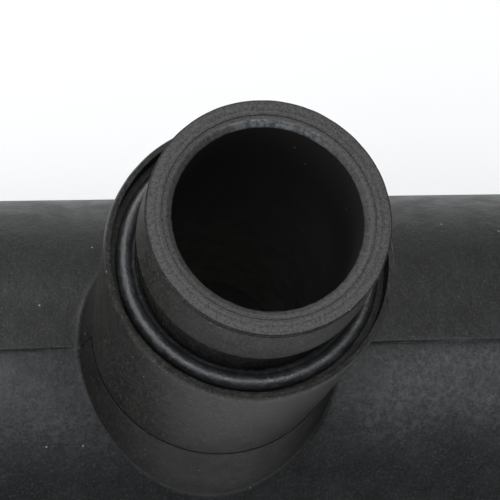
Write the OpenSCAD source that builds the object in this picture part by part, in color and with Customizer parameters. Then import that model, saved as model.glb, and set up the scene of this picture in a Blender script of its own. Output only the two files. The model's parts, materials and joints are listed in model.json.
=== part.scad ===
// Reducing tee for thin-walled irrigation pipe: a moulded body with a plain
// round run, and three spigots set into it, each with a flared barrel, a seal
// ring in an open seat, and a nose that the pipe is pushed over.
// Origin: where the run axis (X) crosses the branch axis (+Z).

/* [Run] */
// Outside diameter of the run
run_d = 40; // [39.5:0.5:44]
// Length of the moulded body along the run
body_len = 64; // [56:1:90]
// Clear waterway through the run
run_bore_d = 26; // [20:0.5:27]
// Outside diameter of the two run noses
run_nose_d = 32.75; // [32:0.25:32.75]
// Diameter of a run barrel where it leaves the body
run_root_d = 38; // [37:0.25:38.5]
// Length of a run barrel, from the body's end to the lip
run_barrel_len = 16; // [12:0.5:24]
// Length of a run nose beyond the lip
run_nose_len = 14; // [12:0.5:20]

/* [Branch] */
// Outside diameter of the branch nose
branch_nose_d = 20; // [19:0.25:20.5]
// Clear waterway through the branch
branch_bore_d = 15.6; // [14:0.2:15.8]
// Diameter of the branch barrel where it leaves the collar
branch_root_d = 21.9; // [21.5:0.1:22.5]
// Height of the collar's top above the run axis
collar_top_z = 23.6; // [23:0.1:26]
// Diameter of the collar at its top
collar_top_d = 22.1; // [22:0.1:22.6]
// Diameter that the collar's cone would have at the run axis
collar_axis_d = 31; // [28:0.5:33]
// Length of the branch barrel, from the collar to the lip
branch_barrel_len = 21.5; // [16:0.5:30]
// Length of the branch nose beyond the lip
branch_nose_len = 10.1; // [9.5:0.1:14]

/* [Nose profile, as shares of the nose radius] */
// Radius of the lip at the barrel's mouth
lip_share = 1.22; // [1.212:0.002:1.22]
// Outer wall of the open seat that holds the seal
seat_share = 1.16; // [1.155:0.001:1.165]
// Centre circle of the seal ring
seal_share = 1.034; // [1.025:0.001:1.04]
// Radius of the seal ring's cord
cord_share = 0.07; // [0.065:0.001:0.072]
// Depth of the seal seat below the lip
seat_depth_share = 0.215; // [0.2:0.005:0.23]
// Radius of the neck behind the nose
neck_share = 0.92; // [0.9:0.005:0.93]
// Length of the full-width nose head
head_share = 0.64; // [0.5:0.02:0.7]
// Width of the chamfer at the mouth of the waterway
chamfer_share = 0.085; // [0.06:0.005:0.1]

/* [Joints between the spigots and the body] */
// Length of a spigot's tail inside its socket
tail_len = 8; // [7:0.5:9]
// Wall of the branch tail around its waterway
branch_tail_wall = 1.5; // [1.3:0.1:1.7]
// Wall of a run tail around its waterway
run_tail_wall = 3; // [2.5:0.1:3.2]
// Height of the snap bead around a tail
bead_h = 0.4; // [0.3:0.05:0.5]
// Width of the snap bead
bead_w = 1.6; // [1.2:0.1:2]

/* [Moulding] */
// Width of the parting line
parting_w = 0.25; // [0.2:0.05:0.4]
// Depth of the parting line
parting_depth = 0.15; // [0.1:0.05:0.2]
// Rounding of the lip's outer edge
lip_round = 0.3; // [0.2:0.05:0.4]
// Rounding of the nose's outer edge
nose_round = 0.3; // [0.2:0.05:0.4]

/* [Hidden] */
$fn = 96;
run_r = run_d / 2;
run_bore_r = run_bore_d / 2;
run_nose_r = run_nose_d / 2;
branch_nose_r = branch_nose_d / 2;
branch_bore_r = branch_bore_d / 2;
collar_top_r = collar_top_d / 2;
collar_axis_r = collar_axis_d / 2;
tail_lead = 0.6;
chamfer_slope = 0.42;
roll_steps = 6;
foot_of_cord = 0.6;
over = 1;

// Points of an arc around centre, from one angle to another.
function arc(centre, r, from, to) =
    [for (i = [0:roll_steps])
        let (a = from + (to - from) * i / roll_steps)
        centre + r * [cos(a), sin(a)]];

// Outer outline of a tail, from its end at -tail_len up to the body's face at 0.
function tail_outline(tail_r) =
    [[tail_r - tail_lead, -tail_len],
     [tail_r, tail_lead - tail_len],
     [tail_r, -(tail_len + bead_w) / 2],
     [tail_r + bead_h, -tail_len / 2],
     [tail_r, -(tail_len - bead_w) / 2],
     [tail_r, 0]];

// Half section of a spigot, in radius and height above the body's face.
function spigot_outline(nose_r, bore_r, root_r, tail_r, barrel_len, nose_len) =
    let (lip_r = nose_r * lip_share,
         face_h = barrel_len + nose_len,
         seat_h = barrel_len - nose_r * seat_depth_share,
         cord_r = nose_r * cord_share,
         foot_r = nose_r * seal_share - cord_r,
         foot_h = seat_h + cord_r * foot_of_cord,
         neck_r = nose_r * neck_share,
         roll_r = (nose_r - neck_r) / 2,
         head_h = face_h - nose_r * head_share,
         chamfer_w = nose_r * chamfer_share)
    concat(
        [[bore_r, -tail_len]],
        tail_outline(tail_r),
        [[root_r, 0]],
        arc([lip_r - lip_round, barrel_len - lip_round], lip_round, 0, 90),
        [[nose_r * seat_share, barrel_len],
         [nose_r * seat_share, seat_h],
         [foot_r, seat_h],
         [foot_r, foot_h],
         [neck_r, foot_h]],
        arc([neck_r + roll_r, head_h - roll_r], roll_r, 180, 90),
        arc([nose_r - roll_r, head_h + roll_r], roll_r, -90, 0),
        arc([nose_r - nose_round, face_h - nose_round], nose_round, 0, 90),
        [[bore_r + chamfer_w, face_h],
         [bore_r, face_h - chamfer_w * chamfer_slope]]);

module spigot(nose_r, bore_r, root_r, tail_r, barrel_len, nose_len) {
    rotate_extrude()
        polygon(spigot_outline(nose_r, bore_r, root_r, tail_r, barrel_len, nose_len));
}

// What a socket takes out of the body: the tail's own outline, filled in.
module socket(tail_r) {
    rotate_extrude()
        polygon(concat([[0, -tail_len]], tail_outline(tail_r), [[0, 0]]));
    cylinder(r = tail_r, h = over);
}

module seal(nose_r, barrel_len) {
    rotate_extrude()
        translate([nose_r * seal_share,
                   barrel_len - nose_r * (seat_depth_share - cord_share)])
            circle(r = nose_r * cord_share);
}

// Stands a shape made along +Z on one end of the run: side is -1 left, 1 right.
module on_run(side)
    translate([side * body_len / 2, 0, 0]) rotate([0, side * 90, 0]) children();

// Stands a shape made along +Z on top of the collar.
module on_branch()
    translate([0, 0, collar_top_z]) children();

// Outside of the body, drawn in by inset all over.
module body_outside(inset = 0) {
    rotate([0, 90, 0])
        cylinder(r = run_r - inset, h = body_len, center = true);
    cylinder(r1 = collar_axis_r - inset, r2 = collar_top_r - inset, h = collar_top_z);
}

// The shallow line that the two halves of the mould leave around the body.
module parting_line() {
    difference() {
        cube([body_len + 2 * over, parting_w, 4 * run_r], center = true);
        body_outside(parting_depth);
    }
}

module tee_body() {
    color("#2b2c2e") difference() {
        body_outside();
        rotate([0, 90, 0])
            cylinder(r = run_bore_r, h = body_len + 2 * over, center = true);
        cylinder(r = branch_bore_r, h = collar_top_z + over);
        on_branch() socket(branch_bore_r + branch_tail_wall);
        for (side = [-1, 1])
            on_run(side) socket(run_bore_r + run_tail_wall);
        parting_line();
    }
}

module branch_spigot() {
    color("#333436") on_branch()
        spigot(branch_nose_r, branch_bore_r, branch_root_d / 2,
               branch_bore_r + branch_tail_wall, branch_barrel_len, branch_nose_len);
}

module run_spigot(side) {
    color("#333436") on_run(side)
        spigot(run_nose_r, run_bore_r, run_root_d / 2,
               run_bore_r + run_tail_wall, run_barrel_len, run_nose_len);
}

module left_spigot() run_spigot(-1);

module right_spigot() run_spigot(1);

module branch_seal()
    color("#151618") on_branch() seal(branch_nose_r, branch_barrel_len);

module run_seal(side)
    color("#151618") on_run(side) seal(run_nose_r, run_barrel_len);

module left_seal() run_seal(-1);

module right_seal() run_seal(1);

tee_body();
branch_spigot();
left_spigot();
right_spigot();
branch_seal();
left_seal();
right_seal();
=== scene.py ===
import json
import math

import bmesh
import bpy
from mathutils import Matrix, Vector, noise


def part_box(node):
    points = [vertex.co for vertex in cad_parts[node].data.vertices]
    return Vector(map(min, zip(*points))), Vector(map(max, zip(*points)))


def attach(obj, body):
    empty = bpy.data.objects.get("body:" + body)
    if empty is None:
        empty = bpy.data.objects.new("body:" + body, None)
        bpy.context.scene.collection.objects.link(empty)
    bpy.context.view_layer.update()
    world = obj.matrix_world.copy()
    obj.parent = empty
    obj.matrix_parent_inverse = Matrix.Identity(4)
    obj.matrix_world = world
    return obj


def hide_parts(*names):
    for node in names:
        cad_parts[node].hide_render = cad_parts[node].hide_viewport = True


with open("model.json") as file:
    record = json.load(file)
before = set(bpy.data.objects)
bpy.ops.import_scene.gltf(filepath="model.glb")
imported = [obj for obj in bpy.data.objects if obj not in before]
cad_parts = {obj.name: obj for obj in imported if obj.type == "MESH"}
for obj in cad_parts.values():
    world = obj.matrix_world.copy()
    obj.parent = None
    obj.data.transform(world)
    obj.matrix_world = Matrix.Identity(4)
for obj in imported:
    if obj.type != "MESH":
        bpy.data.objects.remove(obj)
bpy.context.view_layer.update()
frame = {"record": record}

MM = 0.001                      # the CAD frame is in metres, the sizes below in millimetres

# ---------------------------------------------------------------- sizes

mounts = {m["name"]: m for m in frame["record"]["mounts"]}


def mount_r(name):
    """Radius of a round mount, in millimetres."""
    return mounts[name]["dims"]["r_mm"]


def top(node, axis):
    """Highest coordinate of a CAD node along an axis, in millimetres."""
    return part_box(node)[1][axis] / MM


X, Y, Z = range(3)
RUN_R = top("tee_body", Y)
BODY_END = top("tee_body", X)
COLLAR_Z = top("tee_body", Z)
RUN_BORE_R = mount_r("run_bore")
BRANCH_BORE_R = mount_r("branch_bore")

COLLAR_TOP_R = 11.05            # collar radius at its top
COLLAR_AXIS_R = 15.5            # radius its cone would have at the run axis
TAIL_LEN = 8.0                  # depth of the sockets that hold the spigots
TAIL_LEAD = 0.6                 # chamfer at a tail's end
BRANCH_TAIL_R = BRANCH_BORE_R + 1.5     # each tail has this much wall around its waterway
RUN_TAIL_R = RUN_BORE_R + 3.0
BRANCH_ROOT_R, RUN_ROOT_R = 10.95, 19.0         # barrels where they leave the body
BRANCH_BARREL_LEN, RUN_BARREL_LEN = 21.5, 16.0  # from there to the lip
BRANCH_NOSE_LEN, RUN_NOSE_LEN = 10.1, 14.0      # and from the lip to the end face

# Nose profile, as shares of the nose radius
LIP, SEAT, SEAL, CORD = 1.22, 1.16, 1.034, 0.07
SEAT_DEPTH, NECK, HEAD, CHAMFER = 0.215, 0.92, 0.64, 0.085
CHAMFER_SLOPE = 0.42            # depth of the mouth's chamfer, as a share of its width
SEAL_FOOT = 0.6                 # height of the step inside a seal, as a share of its cord's radius

AROUND = 288                    # segments around a turned piece
AROUND_CORD = 72                # segments around a seal's cord
LONGEST = 1.5                   # longest segment along a spigot's outline


# ---------------------------------------------------------------- meshes

def arc(centre, r, start, end, steps=6):
    """Points of an arc in a profile, angles in degrees."""
    cx, cy = centre
    angles = [math.radians(start + (end - start) * i / steps) for i in range(steps + 1)]
    return [(cx + r * math.cos(a), cy + r * math.sin(a)) for a in angles]


def finished(points, finish):
    """Tags outline points with the finish of the surface that starts there."""
    return [(r, h, finish) for r, h in points]


def subdivided(outline, longest):
    """The same closed outline of (radius, height, finish), with no segment longer than longest."""
    out = []
    for (ax, ay, finish), (bx, by, _) in zip(outline, outline[1:] + outline[:1]):
        steps = max(1, math.ceil(math.hypot(bx - ax, by - ay) / longest))
        out += [(ax + (bx - ax) * i / steps, ay + (by - ay) * i / steps, finish)
                for i in range(steps)]
    return out


def mesh_piece(name, verts, local, faces, finishes, materials, node):
    """A piece of the object, from millimetre points, standing for one CAD node.

    local holds each point as its material sees it, and finishes a material number per face.
    """
    mesh = bpy.data.meshes.new(name)
    mesh.from_pydata([Vector(v) * MM for v in verts], [], faces)
    for material in materials:
        mesh.materials.append(material)
    mesh.polygons.foreach_set("material_index", finishes)
    seen = mesh.attributes.new("local", "FLOAT_VECTOR", "POINT")
    seen.data.foreach_set("vector", [c for v in local for c in v])
    bm = bmesh.new()
    bm.from_mesh(mesh)
    bmesh.ops.recalc_face_normals(bm, faces=bm.faces)
    bm.to_mesh(mesh)
    bm.free()
    mesh.polygons.foreach_set("use_smooth", [True] * len(mesh.polygons))
    mesh.set_sharp_from_angle(angle=math.radians(35))
    piece = bpy.data.objects.new(name, mesh)
    bpy.context.scene.collection.objects.link(piece)
    weighted = piece.modifiers.new("even_shading", "WEIGHTED_NORMAL")
    weighted.keep_sharp = True
    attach(piece, "root")
    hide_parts(node)
    return piece


def turned(outline, wobble):
    """Points, faces and finishes of a closed outline of (radius, height, finish), turned."""
    rows = len(outline)
    points, faces, finishes = [], [], []
    for j in range(AROUND):
        turn = 2 * math.pi * j / AROUND
        for r, h, _ in outline:
            r, h = wobble(r, h, turn)
            points.append(Vector((r * math.cos(turn), r * math.sin(turn), h)))
    for j in range(AROUND):
        k = (j + 1) % AROUND
        for i in range(rows):
            n = (i + 1) % rows
            faces.append((j * rows + i, k * rows + i, k * rows + n, j * rows + n))
            finishes.append(outline[i][2])
    return points, faces, finishes


# ---------------------------------------------------------------- spigots and seals

class Outlet:
    """Sizes and place of one outlet: its spigot stands along +Z of its own place."""

    def __init__(self, name, nose_r, bore_r, tail_r, root_r, barrel_len, nose_len, place):
        self.name, self.nose_r, self.bore_r = name, nose_r, bore_r
        self.tail_r, self.root_r = tail_r, root_r
        self.barrel_len, self.face_h = barrel_len, barrel_len + nose_len
        self.place = place
        self.lip_r = nose_r * LIP
        self.neck_r = nose_r * NECK
        self.cord_r = nose_r * CORD
        self.seal_r = nose_r * SEAL
        self.seat_h = barrel_len - nose_r * SEAT_DEPTH
        self.foot_h = self.seat_h + self.cord_r * SEAL_FOOT
        self.chamfer = nose_r * CHAMFER
        self.mouth_h = self.face_h - self.chamfer * CHAMFER_SLOPE


def on_run(side):
    """Turns +Z of a piece to point out of one end of the run."""
    return Matrix.Translation((side * BODY_END, 0, 0)) @ Matrix.Rotation(side * math.pi / 2, 4, "Y")


def run_outlet(name, side):
    return Outlet(name, mount_r(name + "_nose"), RUN_BORE_R, RUN_TAIL_R, RUN_ROOT_R,
                  RUN_BARREL_LEN, RUN_NOSE_LEN, on_run(side))


outlets = [
    Outlet("branch", mount_r("branch_nose"), BRANCH_BORE_R, BRANCH_TAIL_R, BRANCH_ROOT_R,
           BRANCH_BARREL_LEN, BRANCH_NOSE_LEN, Matrix.Translation((0, 0, COLLAR_Z))),
    run_outlet("left", -1),
    run_outlet("right", 1),
]

# Finishes: as moulded, end face, mouth chamfer, waterway, and the duller nose and neck
MOULDED, CUT, TRIMMED, BORE, NOSE = range(5)

FOOT_ROUND = 0.12               # rounding of a barrel's foot
SEAT_ROUND = 0.06               # rounding of the seal seat's upper edge
NECK_ROUND = 0.3                # fillet between the neck and the nose's head
HEAD_ROUND = 0.4                # rounding of the head's lower edge
FACE_ROUND = 0.14               # rounding of the nose's outer edge
TRIM_STEP = 0.05                # the small step where the mouth's trimming starts
TRIM_GROOVE = 0.13              # depth of the tool mark along that step
MOUTH_ROUND = 0.18              # rounding of the mouth's inner edge
# How far the lip's shoulder has drawn in, and how far below the lip
LIP_SHOULDER = [(0.0, 0.8), (0.03, 0.45), (0.1, 0.2), (0.19, 0.03), (0.23, 0.0)]
# The shallow band around the nose's head: how far in, and how far below the end face
HEAD_BAND = [(0.0, 0.5), (0.08, 0.4), (0.08, 0.25), (0.0, 0.2)]
# The tool mark around the mouth: how far outside the chamfer, and how deep
TOOL_MARK = [(0.09, 0.0), (0.05, TRIM_GROOVE), (0.0, TRIM_GROOVE), (-0.05, TRIM_STEP)]
# The trimmed slope inside it: shares of the chamfer's width, and how many steps deep
TRIM_SLOPE = [(0.62, 1.4), (0.42, 2.6)]


def barrel_outline(o):
    """Outline of a spigot from its tail's end over the barrel and lip down into the seal seat."""
    root_r = o.root_r - FOOT_ROUND
    seat_r = o.nose_r * SEAT
    step_r = o.seal_r - o.cord_r
    return (
        [(o.bore_r, -TAIL_LEN), (o.tail_r - TAIL_LEAD, -TAIL_LEN),
         (o.tail_r, TAIL_LEAD - TAIL_LEN), (o.tail_r, 0)]
        + arc((root_r, FOOT_ROUND), FOOT_ROUND, -90, 0, 3)
        + [(o.lip_r - inward, o.barrel_len - down) for inward, down in LIP_SHOULDER]
        + arc((seat_r + SEAT_ROUND, o.barrel_len - SEAT_ROUND), SEAT_ROUND, 90, 180, 3)
        + [(seat_r, o.seat_h), (step_r, o.seat_h), (step_r, o.foot_h)]
    )


def nose_outline(o):
    """Outline of the neck and nose, up to where the end face starts."""
    head_h = o.face_h - o.nose_r * HEAD
    return (
        [(o.neck_r, o.foot_h)]
        + arc((o.neck_r + NECK_ROUND, head_h - NECK_ROUND), NECK_ROUND, 180, 90, 4)
        + arc((o.nose_r - HEAD_ROUND, head_h + HEAD_ROUND), HEAD_ROUND, -90, 0)
        + [(o.nose_r - inward, o.face_h - down) for inward, down in HEAD_BAND]
        + arc((o.nose_r - FACE_ROUND, o.face_h - FACE_ROUND), FACE_ROUND, 0, 90, 4)[:-1]
    )


def face_outline(o):
    """Outline of the sawn end face, with the tool mark at its inner edge."""
    chamfer_r = o.bore_r + o.chamfer
    return ([(o.nose_r - FACE_ROUND, o.face_h)]
            + [(chamfer_r + outward, o.face_h - down) for outward, down in TOOL_MARK])


def mouth_outline(o):
    """Outline of the mouth's trimmed edge, down to where the waterway starts."""
    round_centre = (o.bore_r + MOUTH_ROUND, o.mouth_h - MOUTH_ROUND)
    return ([(o.bore_r + o.chamfer * share, o.face_h - TRIM_STEP * steps)
             for share, steps in TRIM_SLOPE]
            + arc(round_centre, MOUTH_ROUND, 120, 180, 4)[:-1])


def spigot_outline(o):
    """Closed outline of a spigot, each point with the finish of the surface that starts there."""
    return (finished(barrel_outline(o), MOULDED) + finished(nose_outline(o), NOSE)
            + finished(face_outline(o), CUT) + finished(mouth_outline(o), TRIMMED)
            + finished([(o.bore_r, o.mouth_h - MOUTH_ROUND)], BORE))


# Unevenness around an edge: how far it reaches, its amount and the depth of its nicks
LIP_WEAR = (0.6, 0.03, 0.08)
FACE_WEAR = (0.4, 0.02, 0.08)
MOUTH_WEAR = (0.5, 0.05, 0.05)
SEAL_WAVE = 0.09                # how much a seal's cord varies
FINE_WAVES, SLOW_WAVES, NICKS = 1.3, 0.35, 0.8  # how many in a millimetre along an edge
SLOW_SHARE = 0.6                # strength of the slow waves, as a share of the fine ones
NICK_LEVEL = 0.25               # nicks are only where their noise is above this


def uneven(o, edges):
    """Wobble that roughens a turned piece near some of its edges, and leaves the rest true.

    Each edge is (radius, height, reach, amount, depth of its nicks).
    """
    def wobble(r, h, turn):
        at = Vector((math.cos(turn), math.sin(turn), 0)) * o.nose_r
        for near_r, near_h, reach, amount, nicks in edges:
            near = 1 - math.hypot(r - near_r, h - near_h) / reach
            if near > 0:
                lane = Vector((0, 0, near_h))
                waves = (noise.noise(at * FINE_WAVES + lane)
                         + SLOW_SHARE * noise.noise(at * SLOW_WAVES + lane))
                nick = max(0.0, noise.noise(at * NICKS - lane) - NICK_LEVEL)
                shift = near * (amount * waves - nicks * nick)
                r += shift
                h += 0.5 * shift
        return r, h
    return wobble


def build_spigot(o, materials):
    edges = [
        (o.lip_r, o.barrel_len, *LIP_WEAR),
        (o.nose_r, o.face_h, *FACE_WEAR),
        (o.bore_r, o.mouth_h, *MOUTH_WEAR),
    ]
    points, faces, finishes = turned(subdivided(spigot_outline(o), LONGEST), uneven(o, edges))
    return mesh_piece(o.name + "_spigot_skin", [o.place @ p for p in points], points, faces,
                      finishes, materials, o.name + "_spigot")


FLASH = 0.02                    # height of a seal's moulding flash, as a share of the nose radius
FLASH_TURN = math.radians(160)  # its place on the cord, from the outer side over the top
FLASH_WIDTH = math.radians(7)


def build_seal(o, material):
    centre_h = o.seat_h + o.cord_r
    ring = []
    for i in range(AROUND_CORD):
        a = 2 * math.pi * i / AROUND_CORD
        flash = FLASH * o.nose_r * math.exp(-((a - FLASH_TURN) / FLASH_WIDTH) ** 2)
        r = o.cord_r + flash
        ring.append((o.seal_r + r * math.cos(a), centre_h + r * math.sin(a), 0))
    edges = [(o.seal_r, centre_h, o.cord_r * 2, SEAL_WAVE, 0.0)]
    points, faces, finishes = turned(ring, uneven(o, edges))
    return mesh_piece(o.name + "_seal_ring", [o.place @ p for p in points], points, faces,
                      finishes, [material], o.name + "_seal")


# ---------------------------------------------------------------- body

PATCH_X = 16.0                  # the collar's patch in the run's skin: half length along the run
PATCH_TURN = math.radians(52)   # and half its turn around the run
SEAM_HALF = 0.2                 # half width of the parting line
SEAM_DEPTH = 0.13
COLLAR_SEAM = 1.8               # the line is this many times as deep on the collar
SEAM_WANDER = 0.15              # how far the line strays to its sides
SEAM_LANES = (3.1, 7.7)         # places in the noise that its depth and its straying come from
SEAM_TURNS = [SEAM_HALF * s / RUN_R for s in (0, 0.35, 0.7, 1, 1.8, 3)]
BEYOND_SEAM = 3.5 * SEAM_HALF / RUN_R
FAR = 99.0                      # further from the parting line than it reaches
ON_SKIN = 0.02                  # how near a point has to be to the run's outside to be on it
COLLAR_STEP = 0.1               # the rear half of the mould sits this much inside the front one
COLLAR_FILLET = 0.45            # rounding between the run and the collar
RUN_EDGE = 0.25                 # rounding of the body's ends
SKIN_STEP = 2                   # spacing of the skin's points along the run, beyond the patch
# How far the collar's upper edge has drawn in, and how far below its top, down into the groove
# that it leaves around the spigot's foot
COLLAR_SHOULDER = [(0.0, 0.5), (0.06, 0.25), (0.13, 0.05), (0.15, 0.0), (0.22, 0.15), (0.3, 0.15)]


def symmetric(values):
    """Sorted values with their negatives."""
    return sorted(set([-v for v in values] + list(values)))


def patch_lines():
    """Lines across the patch: along the run, and as turns around the run from its top."""
    xs = symmetric([PATCH_X * i / 16 for i in range(17)])
    turns = symmetric(SEAM_TURNS + [PATCH_TURN * i / 20 for i in range(1, 21)])
    return xs, turns


def run_turns(patch_turns):
    """All the turns around the run, from one side of the patch over it and round the back."""
    steps = 40
    side = [PATCH_TURN + (math.pi - BEYOND_SEAM - PATCH_TURN) * i / steps for i in range(1, steps)]
    rest = side + sorted(math.pi - s for s in SEAM_TURNS)
    return patch_turns + rest + sorted(2 * math.pi - t for t in rest if t < math.pi)


def seam_dent(y):
    """How deep the parting line is at a distance y from its middle."""
    t = abs(y) / SEAM_HALF
    return SEAM_DEPTH * (1 - t * t * (3 - 2 * t)) if t < 1 else 0.0


def run_profile(xs):
    """Closed outline of the body as (x, radius), and where the patch starts on its inner skin."""
    patch_end, socket_end = round(PATCH_X), round(BODY_END - TAIL_LEN)
    outer_right = list(range(patch_end + SKIN_STEP, round(BODY_END), SKIN_STEP))
    right_end = [(x, r) for r, x in arc((RUN_R - RUN_EDGE, BODY_END - RUN_EDGE), RUN_EDGE, 0, 90, 4)]
    right_end += [(BODY_END, RUN_TAIL_R), (BODY_END - TAIL_LEN, RUN_TAIL_R),
                  (BODY_END - TAIL_LEN, RUN_BORE_R)]
    inner_right = list(range(socket_end - SKIN_STEP, patch_end, -SKIN_STEP))
    left_end = [(-x, r) for x, r in reversed(right_end)]
    outline = (
        [(x, RUN_R) for x in xs] + [(x, RUN_R) for x in outer_right] + right_end
        + [(x, RUN_BORE_R) for x in inner_right] + [(x, RUN_BORE_R) for x in reversed(xs)]
        + [(-x, RUN_BORE_R) for x in reversed(inner_right)] + left_end
        + [(-x, RUN_R) for x in reversed(outer_right)]
    )
    return outline, len(xs) + len(outer_right) + len(right_end) + len(inner_right)


def cone_r(z):
    """Radius of the collar's cone at a height."""
    return COLLAR_AXIS_R + (COLLAR_TOP_R - COLLAR_AXIS_R) * z / COLLAR_Z


def collar_foot_z(phi):
    """Height at which the collar's cone meets the run, at a turn phi about the branch."""
    z = RUN_R
    for _ in range(20):
        z = math.sqrt(RUN_R ** 2 - (cone_r(z) * math.sin(phi)) ** 2)
    return z


def on_cylinder(r, x, turn):
    return Vector((x, r * math.sin(turn), r * math.cos(turn)))


def skin_path(r, x0, turn0, x1, turn1, steps):
    """Points on a cylinder from one (x, turn) to another, without the first."""
    return [on_cylinder(r, x0 + (x1 - x0) * i / steps, turn0 + (turn1 - turn0) * i / steps)
            for i in range(1, steps + 1)]


def bezier(a, b, c, steps):
    """Points of a curve from a to c that is drawn towards b, without its ends."""
    shares = [i / steps for i in range(1, steps)]
    return [a * (1 - t) ** 2 + b * 2 * t * (1 - t) + c * t * t for t in shares]


def collar_column(x, turn, phi):
    """Points from the run's outer skin over the collar and down its socket to the waterway."""
    c, s = math.cos(phi), math.sin(phi)

    def around(r, z):
        return Vector((r * c, r * s, z))

    foot_z = collar_foot_z(phi)
    foot = around(cone_r(foot_z), foot_z)
    foot_turn = math.asin(foot.y / RUN_R)
    share = COLLAR_FILLET / math.hypot(x - foot.x, (turn - foot_turn) * RUN_R)
    points = skin_path(RUN_R, x, turn, foot.x + (x - foot.x) * share,
                       foot_turn + (turn - foot_turn) * share, 12)
    up_z = foot_z + COLLAR_FILLET
    up = around(cone_r(up_z), up_z)
    points += bezier(points[-1], foot, up, 6) + [up]
    edge_z = COLLAR_Z - COLLAR_SHOULDER[0][1]
    for i in range(1, 6):
        z = up_z + (edge_z - up_z) * i / 6
        points.append(around(cone_r(z), z))
    points += [around(cone_r(edge_z) - inward, COLLAR_Z - down) for inward, down in COLLAR_SHOULDER]
    points += [around(BRANCH_TAIL_R, COLLAR_Z), around(BRANCH_TAIL_R, COLLAR_Z - TAIL_LEN),
               around(BRANCH_BORE_R, COLLAR_Z - TAIL_LEN)]
    mouth = around(BRANCH_BORE_R, math.sqrt(RUN_BORE_R ** 2 - (BRANCH_BORE_R * s) ** 2))
    mouth_turn = math.asin(mouth.y / RUN_BORE_R)
    return points + [mouth] + skin_path(RUN_BORE_R, mouth.x, mouth_turn, x, turn, 4)[:-1]


def dented(p, y_line):
    """Sinks a skin point along the parting line and sets back the rear half of the collar."""
    run_dist = math.hypot(p.y, p.z)
    branch_dist = math.hypot(p.x, p.y)
    on_collar = (run_dist > RUN_R + ON_SKIN
                 and BRANCH_TAIL_R + 0.1 < branch_dist < COLLAR_AXIS_R)
    if not (on_collar or abs(run_dist - RUN_R) < ON_SKIN):
        return p
    depth_lane, wander_lane = SEAM_LANES
    rough = 0.9 + 1.1 * noise.noise(Vector((p.x * 0.8, depth_lane, p.z * 0.9)))
    wander = SEAM_WANDER * noise.noise(Vector((p.x * 0.25, wander_lane, p.z * 0.25)))
    dent = seam_dent(y_line + wander) * rough
    if not on_collar:
        return p - Vector((0, p.y, p.z)).normalized() * dent
    t = min(1, max(0, y_line / SEAM_HALF + 0.5))
    dent = dent * COLLAR_SEAM + COLLAR_STEP * t * t * (3 - 2 * t)
    return p - Vector((p.x, p.y, 0)).normalized() * dent


def run_faces(rows, cols, nx, nt, inner_start):
    """Faces of the run's grid, inside and out, with the collar's patch left open."""
    faces = []
    for j in range(cols):
        k = (j + 1) % cols
        for i in range(rows):
            n = (i + 1) % rows
            in_patch = i < nx - 1 or inner_start <= i < inner_start + nx - 1
            if j < nt - 1 and in_patch:
                continue
            faces.append((j * rows + i, k * rows + i, k * rows + n, j * rows + n))
    return faces


def patch_edge(nx, nt):
    """Numbers of the lines that cross at each point around the edge of the patch, in order."""
    return ([(nx - 1, t) for t in range(nt)] + [(i, nt - 1) for i in range(nx - 2, -1, -1)]
            + [(0, t) for t in range(nt - 2, -1, -1)] + [(i, 0) for i in range(1, nx - 1)])


def turn_about_branch(x, turn, on_end):
    """Turn about the branch at which the collar meets a point of the patch's edge."""
    spread = RUN_R / cone_r(RUN_R)
    if on_end:
        return math.atan2(math.sin(turn) * spread, math.copysign(1, x))
    corner = math.sin(PATCH_TURN) * spread
    return math.atan2(math.copysign(corner, turn), x / PATCH_X)


def build_body(material):
    xs, patch_turns = patch_lines()
    turns = run_turns(patch_turns)
    outline, inner_start = run_profile(xs)
    rows, nx, nt = len(outline), len(xs), len(patch_turns)
    grid = [on_cylinder(r, x, turn) for turn in turns for x, r in outline]
    verts = [dented(p, p.y) for p in grid]
    faces = run_faces(rows, len(turns), nx, nt, inner_start)
    columns = []
    for ix, it in patch_edge(nx, nt):
        x, turn = xs[ix], patch_turns[it]
        on_end = ix in (0, nx - 1)
        y_line = RUN_R * math.sin(turn) if on_end else math.copysign(FAR, turn)
        first = len(verts)
        points = collar_column(x, turn, turn_about_branch(x, turn, on_end))
        verts += [dented(p, y_line) for p in points]
        outer = it * rows + ix
        inner = it * rows + inner_start + nx - 1 - ix
        columns.append([outer, *range(first, len(verts)), inner])
    for a, b in zip(columns, columns[1:] + columns[:1]):
        faces += [(a[m], a[m + 1], b[m + 1], b[m]) for m in range(len(a) - 1)]
    return mesh_piece("tee_body_skin", verts, verts, faces, [0] * len(faces), [material],
                      "tee_body")


# ---------------------------------------------------------------- materials

WARM_BLACK = (0.0135, 0.0128, 0.0118)
COOL_BLACK = (0.0118, 0.0122, 0.0128)
BORE_BLACK = (0.022, 0.022, 0.021)
RUBBER_BLACK = (0.017, 0.0175, 0.019)
RUBBER_BLOOM = (0.036, 0.038, 0.042)
RUBBER_PIT = (0.006, 0.006, 0.006)
SAWN_GREY = (0.052, 0.0515, 0.05)
# pale bluish colour of the painted highlight at the rear of the mouth
PAINTED_HIGHLIGHT = (0.13, 0.138, 0.15)
DUST = (0.075, 0.085, 0.095)
LINT = (0.2, 0.205, 0.205)
# pale colours that paint light into the deep waterway, in the spigots and in the run
BORE_PAINTED_LIGHT = (0.14, 0.14, 0.13)
WATERWAY_PAINTED_LIGHT = (0.3, 0.3, 0.28)

DRAWN = 0.4                     # scale along Z of the grain that the mould's draw made longer


def shade(colour, factor):
    return tuple(c * factor for c in colour)


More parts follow.
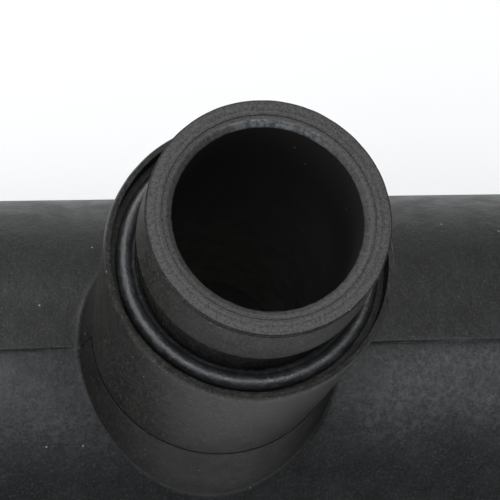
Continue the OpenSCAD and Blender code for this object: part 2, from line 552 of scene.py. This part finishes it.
class Finish:
    """A procedural material, and short names for the nodes that it is made of.

    Its textures read the mesh's "local" points, in millimetres: the row frame on the body, and
    on a turned piece its own axis along +Z. So a texture's scale is in features per millimetre.
    """

    def __init__(self, name, roughness, specular):
        self.material = bpy.data.materials.new(name)
        self.material.use_nodes = True
        self.tree = self.material.node_tree
        self.shader = self.tree.nodes["Principled BSDF"]
        self.shader.inputs["Roughness"].default_value = roughness
        self.shader.inputs["Specular IOR Level"].default_value = specular
        local = self.tree.nodes.new("ShaderNodeAttribute")
        local.attribute_name = "local"
        self.place = local.outputs["Vector"]
        _, self.y, self.z = self.node("ShaderNodeSeparateXYZ", self.place).outputs

    def node(self, kind, *inputs, **settings):
        """A node with its first inputs linked or set, in order."""
        made = self.tree.nodes.new(kind)
        for key, value in settings.items():
            setattr(made, key, value)
        for socket, value in zip(made.inputs, inputs):
            self.feed(socket, value)
        return made

    def feed(self, socket, value):
        if isinstance(value, bpy.types.NodeSocket):
            self.tree.links.new(value, socket)
        elif value is not None:
            socket.default_value = value

    def maths(self, operation, a, b=0.0):
        return self.node("ShaderNodeMath", a, b, operation=operation).outputs[0]

    def vector(self, operation, a, b=None):
        return self.node("ShaderNodeVectorMath", a, b, operation=operation)

    def spread(self, value, low, high, to_low=0.0, to_high=1.0):
        """Maps low..high to to_low..to_high, smoothly and held at the ends."""
        mapped = self.node("ShaderNodeMapRange", value, interpolation_type="SMOOTHSTEP")
        for name, number in (("From Min", low), ("From Max", high),
                             ("To Min", to_low), ("To Max", to_high)):
            mapped.inputs[name].default_value = number
        return mapped.outputs[0]

    def weighted(self, a, b, share):
        """Sum of two textures, with b taking the share and a the rest."""
        return self.maths("ADD", self.maths("MULTIPLY", a, 1 - share),
                          self.maths("MULTIPLY", b, share))

    def stretched(self, sx, sy, sz):
        """The local place, scaled per axis."""
        return self.vector("MULTIPLY", self.place, (sx, sy, sz)).outputs[0]

    def cloud(self, scale, detail=3.0, roughness=0.55, place=None):
        """Noise with about scale features per millimetre, 0 to 1."""
        made = self.node("ShaderNodeTexNoise")
        self.feed(made.inputs["Vector"], place or self.place)
        made.inputs["Scale"].default_value = scale
        made.inputs["Detail"].default_value = detail
        made.inputs["Roughness"].default_value = roughness
        return made.outputs["Fac"]

    def specks(self, scale, radius, share):
        """Small round spots: about scale cells per millimetre, a share of them with a spot."""
        cells = self.node("ShaderNodeTexVoronoi")
        self.feed(cells.inputs["Vector"], self.place)
        cells.inputs["Scale"].default_value = scale
        spot = self.spread(cells.outputs["Distance"], radius * 0.6, radius, 1.0, 0.0)
        pick = self.node("ShaderNodeSeparateColor", cells.outputs["Color"]).outputs[0]
        return self.maths("MULTIPLY", spot, self.maths("LESS_THAN", pick, share))

    def blend(self, amount, a, b):
        """Mixes colours a and b; each is a colour or a socket."""
        mix = self.node("ShaderNodeMix", data_type="RGBA")
        self.feed(mix.inputs["Factor"], amount)
        for key, colour in (("A", a), ("B", b)):
            socket = next(i for i in mix.inputs if i.name == key and i.type == "RGBA")
            self.feed(socket, (*colour, 1) if isinstance(colour, tuple) else colour)
        return next(o for o in mix.outputs if o.type == "RGBA")

    def bump(self, height, depth):
        """Relief of a height texture, depth in millimetres."""
        made = self.node("ShaderNodeBump")
        made.inputs["Strength"].default_value = 1.0
        made.inputs["Distance"].default_value = depth * MM
        self.feed(made.inputs["Height"], height)
        self.feed(self.shader.inputs["Normal"], made.outputs["Normal"])

    def finish(self, colour, roughness=None):
        self.feed(self.shader.inputs["Base Color"], colour)
        self.feed(self.shader.inputs["Roughness"], roughness)
        return self.material


def mottled(f, colour, scale, contrast, place=None):
    """The colour with soft darker and paler patches, a fine grain and paler motes over them."""
    patches = f.spread(f.cloud(scale, 4), 0.3, 0.7)
    grain = f.spread(f.cloud(4.0, 3, 0.7, place), 0.36, 0.64)
    motes = f.spread(f.cloud(4.7, 2, 0.8, place), 0.53, 0.7, 0.0, 0.8)
    base = f.blend(f.weighted(patches, grain, 0.6),
                   shade(colour, 1 - contrast), shade(colour, 1 + contrast))
    return f.blend(motes, base, shade(colour, 1 + 5 * contrast))


def sawn(f, tone, colour):
    """The speckled grey of worked plastic, with dark pits."""
    grey = f.blend(f.spread(tone, 0.38, 0.62), shade(colour, 0.5), shade(colour, 1.45))
    return f.blend(f.specks(2.4, 0.2, 0.5), grey, shade(colour, 0.2))


def run_dust_and_painted_shade(f, on_run):
    """Amount of the dusty film: on the front of the run only, in patches, with a fade to almost none
    over the lower front flank that faces the camera, which is painted shade.
    """
    # dust on the run's front half; its fade from y -4.5 to -11 mm is painted shade
    front = f.maths("MULTIPLY", f.spread(f.y, -1.2, 0.2, 1.0, 0.03),
                    f.spread(f.y, -11.0, -4.5, 0.05, 1.0))
    patchy = f.spread(f.cloud(0.2, 4, 0.6), 0.38, 0.64, 0.2, 1.0)
    blobs = f.spread(f.cloud(1.8, 5, 0.75), 0.42, 0.64, 0.15, 1.0)
    paling_with_painted_light = f.maths("MULTIPLY", f.maths("MULTIPLY", on_run, front), f.maths("MULTIPLY", patchy, blobs))
    return f.maths("MULTIPLY", paling_with_painted_light, 0.72)


def body_finish():
    """The moulded body: warm black collar, darkened as painted shade, and a cooler run with a thin,
    patchy film of dust that fades out as painted shade on its front flank.
    """
    f = Finish("body_plastic", 0.42, 0.28)
    drawn = f.stretched(1, 1, DRAWN)
    from_run_axis = f.maths("SQRT", f.maths("ADD", f.maths("MULTIPLY", f.y, f.y),
                                            f.maths("MULTIPLY", f.z, f.z)))
    on_run = f.spread(from_run_axis, RUN_R + 0.05, RUN_R + 0.3, 1.0, 0.0)
    inside = f.spread(from_run_axis, RUN_BORE_R + 0.1, RUN_BORE_R + 0.6, 1.0, 0.0)
    # the collar's warm black, taken down to 0.62, is painted shade; the run keeps its cool black
    colour = f.blend(on_run, mottled(f, shade(WARM_BLACK, 0.62), 0.5, 0.6, drawn),
                     mottled(f, COOL_BLACK, 0.35, 0.5))
    # pale dust film on the run's front, with painted shade where it fades out
    colour = f.blend(run_dust_and_painted_shade(f, on_run), colour, DUST)
    # the run's waterway is paled as painted light
    colour = f.blend(inside, colour, WATERWAY_PAINTED_LIGHT)
    colour = f.blend(f.specks(0.6, 0.07, 0.3), colour, LINT)
    colour = f.blend(f.specks(0.35, 0.09, 0.12), colour, shade(COOL_BLACK, 0.3))
    spark_grain = f.cloud(4.0, 3, 0.7)
    waviness = f.maths("MULTIPLY", f.cloud(0.9, 2), 2.0)
    f.bump(f.maths("ADD", spark_grain, waviness), 0.03)
    rough = f.maths("ADD", f.spread(f.cloud(0.4, 3), 0.3, 0.7, 0.0, 0.12),
                    f.spread(on_run, 0.0, 1.0, 0.5, 0.38))
    return f.finish(colour, rough)


def spigot_finish(name, dullness):
    """A spigot's moulded outside: warm black with a fine grain, paler scuffs and dust specks."""
    f = Finish(name, 0.4, 0.2)
    drawn = f.stretched(1, 1, DRAWN)
    scuffs = f.maths("MULTIPLY", f.spread(f.cloud(3.2, 4, 0.8, drawn), 0.5, 0.66),
                     f.spread(f.cloud(0.45, 3), 0.4, 0.65, 0.25, 1.0))
    colour = mottled(f, WARM_BLACK, 0.6, 0.85, drawn)
    colour = f.blend(f.maths("MULTIPLY", scuffs, 0.75), colour, shade(WARM_BLACK, 3.2))
    colour = f.blend(f.specks(3.0, 0.2, 0.25), colour, shade(WARM_BLACK, 2.4))
    colour = f.blend(f.specks(0.9, 0.09, 0.35), colour, LINT)
    grain = f.spread(f.cloud(4.0, 3, 0.75), 0.36, 0.64, 0.0, 0.07)
    patches = f.spread(f.cloud(0.5, 3), 0.3, 0.7, 0.37 + dullness, 0.42 + dullness)
    return f.finish(colour, f.maths("ADD", grain, patches))


def cut_finish():
    """The sawn end face: paler and rough, with dark pits and faint turning rings."""
    f = Finish("cut_plastic", 0.55, 0.3)
    radius = f.vector("LENGTH", f.stretched(1, 1, 0)).outputs["Value"]
    rings = f.cloud(3.2, 3, 0.7, place=f.node("ShaderNodeCombineXYZ", radius).outputs[0])
    tone = f.weighted(f.cloud(4.5, 4, 0.75), rings, 0.35)
    f.bump(tone, 0.025)
    return f.finish(sawn(f, tone, SAWN_GREY))


REAR = (0.17, 0.985, 0)         # the side of the mouth that is smoothed and carries a painted highlight


def trimmed_finish():
    """The mouth's trimmed edge: sawn grey with streaks around it, smoother at the rear, where a pale
    bluish painted highlight is laid into the colour.
    """
    f = Finish("trimmed_plastic", 0.5, 0.4)
    outward = f.vector("NORMALIZE", f.stretched(1, 1, 0)).outputs[0]
    rear = f.vector("DOT_PRODUCT", outward, REAR).outputs["Value"]
    patches = f.spread(f.cloud(1.6, 4, 0.75), 0.45, 0.6, 0.1, 1.0)
    worn_with_painted_highlight = f.maths("MULTIPLY", f.spread(rear, 0.72, 0.99), patches)
    tone = f.weighted(f.cloud(4.5, 4, 0.75), f.cloud(26.0, 5, 0.8, place=outward), 0.4)
    f.bump(tone, 0.04)
    # the rear of the mouth is paled with a painted highlight, and made smoother
    colour = f.blend(worn_with_painted_highlight, sawn(f, tone, shade(SAWN_GREY, 0.8)), PAINTED_HIGHLIGHT)
    return f.finish(colour, f.spread(worn_with_painted_highlight, 0.0, 1.0, 0.55, 0.22))


def bore_finish():
    """The waterway: clean black at the mouth, and paler with depth as painted light that lifts the
    shade deeper in.
    """
    f = Finish("bore_plastic", 0.6, 0.15)
    # paler with depth: painted light against the shade deeper in the bore
    deep = f.spread(f.z, -TAIL_LEN, 26.0, 1.0, 0.0)
    paling_with_painted_light = f.maths("MULTIPLY", deep, f.spread(f.cloud(0.6, 4), 0.25, 0.75, 0.6, 1.0))
    colour = f.blend(paling_with_painted_light, BORE_BLACK, BORE_PAINTED_LIGHT)
    colour = f.blend(f.specks(0.7, 0.09, 0.3), colour, shade(LINT, 0.7))
    f.bump(f.cloud(1.0, 3), 0.02)
    return f.finish(colour)


def rubber_finish():
    """Smooth black rubber with a soft gloss, fine dents, pits and a little dust."""
    f = Finish("seal_rubber", 0.45, 0.95)
    smear = f.cloud(0.9, 4, 0.65)
    colour = f.blend(f.spread(smear, 0.4, 0.8), RUBBER_BLACK, RUBBER_BLOOM)
    colour = f.blend(f.spread(f.cloud(3.0, 4, 0.8), 0.52, 0.68, 0.0, 0.7), colour, DUST)
    colour = f.blend(f.specks(1.6, 0.1, 0.4), colour, LINT)
    colour = f.blend(f.specks(2.3, 0.16, 0.4), colour, RUBBER_PIT)
    dents = f.maths("MULTIPLY", f.cloud(5.0, 3), 0.9)
    f.bump(f.maths("ADD", f.cloud(1.6, 3), dents), 0.04)
    return f.finish(colour, f.spread(smear, 0.3, 0.7, 0.36, 0.5))


# ---------------------------------------------------------------- camera, lights and floor

VIEW_DISTANCE = 268.75          # from the camera to the point that it looks at
VIEW_ELEVATION = 69.243         # degrees above the horizon
VIEW_AZIMUTH = -117.292         # degrees from +X to the camera's side
VIEW_ROLL = 24.831
VIEW_TARGET = Vector((-0.847, -1.036, 50.0))
LENS = 238.7

LIGHT_DISTANCE = 1.5            # metres
LIGHT_TARGET = Vector((0, 0, 30)) * MM
TINT = {"neutral": (1.0, 1.0, 1.0), "cool": (0.9, 0.96, 1.0)}

# Round soft lights: name, azimuth from +X, elevation, apparent width in degrees, brightness, tint
LIGHTS = [
    ("top", 0, 88, 28, 6.2, "neutral"),
    ("back", 108, 40, 40, 3.6, "neutral"),
    ("front", 250, 50, 40, 0.25, "cool"),
    ("left_high", 195, 60, 40, 2.0, "cool"),
    ("right_high", 318, 65, 40, 0.5, "cool"),
    ("left_low", 198, 15, 40, 2.0, "neutral"),
    ("right_low", 18, 15, 40, 0.3, "neutral"),
]
AMBIENT = 0.15                  # brightness of the room as the object sees it
BACKDROP = 0.9                  # and as the camera sees it, behind the floor

FLOOR_HALF = 1.1                # metres
FLOOR_WHITE = (0.97, 0.97, 0.97, 1)


def direction(azimuth, elevation):
    """Unit vector from the object, angles in degrees."""
    az, el = math.radians(azimuth), math.radians(elevation)
    return Vector((math.cos(el) * math.cos(az), math.cos(el) * math.sin(az), math.sin(el)))


def facing(away):
    """Turns an object so that its -Z looks back along away."""
    return (-away).to_track_quat("-Z", "Y").to_matrix().to_4x4()


def add_camera():
    away = direction(VIEW_AZIMUTH, VIEW_ELEVATION)
    data = bpy.data.cameras.new("view")
    data.lens = LENS
    camera = bpy.data.objects.new("view", data)
    bpy.context.scene.collection.objects.link(camera)
    turn = facing(away) @ Matrix.Rotation(math.radians(VIEW_ROLL), 4, "Z")
    camera.matrix_world = Matrix.Translation((VIEW_TARGET + away * VIEW_DISTANCE) * MM) @ turn
    bpy.context.scene.camera = camera


def add_light(name, azimuth, elevation, width, radiance, tint):
    """A round soft light that faces the branch, at a direction and an apparent width."""
    away = direction(azimuth, elevation)
    radius = LIGHT_DISTANCE * math.tan(math.radians(width / 2))
    data = bpy.data.lights.new(name, "AREA")
    data.shape = "DISK"
    data.size = 2 * radius
    data.energy = radiance * (math.pi * radius) ** 2
    data.color = TINT[tint]
    light = bpy.data.objects.new(name, data)
    light.visible_camera = False
    bpy.context.scene.collection.objects.link(light)
    light.matrix_world = Matrix.Translation(LIGHT_TARGET + away * LIGHT_DISTANCE) @ facing(away)


def add_floor():
    """A plain pale floor that the run lies on."""
    z = -RUN_R * MM
    corners = [(x * FLOOR_HALF, y * FLOOR_HALF, z) for x, y in ((-1, -1), (1, -1), (1, 1), (-1, 1))]
    mesh = bpy.data.meshes.new("floor")
    mesh.from_pydata(corners, [], [(0, 1, 2, 3)])
    floor = bpy.data.objects.new("floor", mesh)
    bpy.context.scene.collection.objects.link(floor)
    material = bpy.data.materials.new("pale_floor")
    material.use_nodes = True
    shader = material.node_tree.nodes["Principled BSDF"]
    shader.inputs["Base Color"].default_value = FLOOR_WHITE
    shader.inputs["Roughness"].default_value = 0.8
    mesh.materials.append(material)


def add_world():
    """An even grey room: ambient lights the object, and backdrop is what stands behind it."""
    world = bpy.data.worlds.new("studio")
    world.use_nodes = True
    tree = world.node_tree
    background = tree.nodes["Background"]
    background.inputs["Color"].default_value = (1, 1, 1, 1)
    seen = tree.nodes.new("ShaderNodeLightPath").outputs["Is Camera Ray"]
    level = tree.nodes.new("ShaderNodeMix")
    level.inputs["A"].default_value = AMBIENT
    level.inputs["B"].default_value = BACKDROP
    tree.links.new(seen, level.inputs["Factor"])
    tree.links.new(level.outputs["Result"], background.inputs["Strength"])
    bpy.context.scene.world = world


# ---------------------------------------------------------------- the scene

build_body(body_finish())
spigot_materials = [spigot_finish("spigot_plastic", 0.0), cut_finish(), trimmed_finish(),
                    bore_finish(), spigot_finish("nose_plastic", 0.12)]
seal_material = rubber_finish()
for outlet in outlets:
    build_spigot(outlet, spigot_materials)
    build_seal(outlet, seal_material)

add_floor()
add_world()
for light in LIGHTS:
    add_light(*light)
add_camera()
bpy.context.scene.view_settings.view_transform = "Standard"
